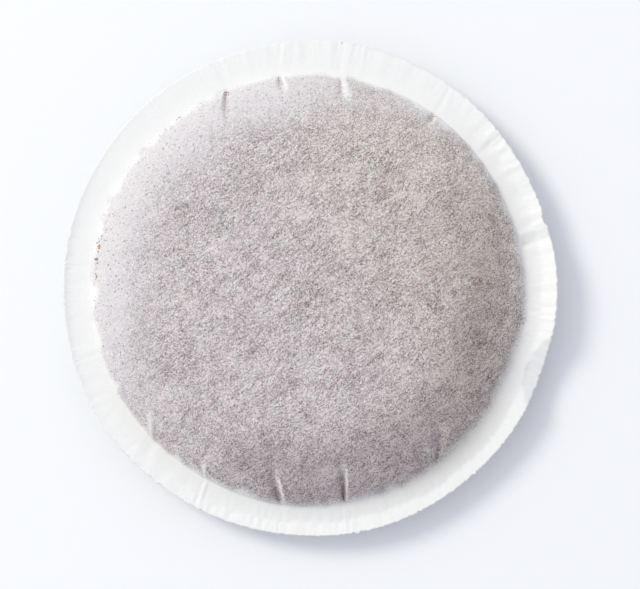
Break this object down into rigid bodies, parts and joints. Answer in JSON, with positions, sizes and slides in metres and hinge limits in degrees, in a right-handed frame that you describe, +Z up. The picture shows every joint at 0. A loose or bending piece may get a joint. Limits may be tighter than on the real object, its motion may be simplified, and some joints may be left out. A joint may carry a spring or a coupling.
{
  "type": "coffee pad",
  "caption": "Round soft pad of ground coffee between two sheets of filter paper, with a pleated shoulder and a flat sealed rim, for a pad coffee machine.",
  "frame": {"origin": "middle of the flat foot that the pad lies on, at table level, on the axis of the paper discs", "axes": "+Z up, along the axis of the pad; +X to the right and +Y to the top as the pad is seen from above"},
  "size_m": [0.0697, 0.07, 0.0099],
  "materials": {
    "filter_paper": "thin white non-woven filter paper, matt, with a fine fibre grain; the coffee shows through it as a mottled mauve grey",
    "ground_coffee": "dry ground roasted coffee, dark brown, grainy and matt"
  },
  "bodies": {
    "root": {"upper_filter_sheet": "filter_paper", "lower_filter_sheet": "filter_paper", "coffee_bed": "ground_coffee"}
  },
  "joints": []
}
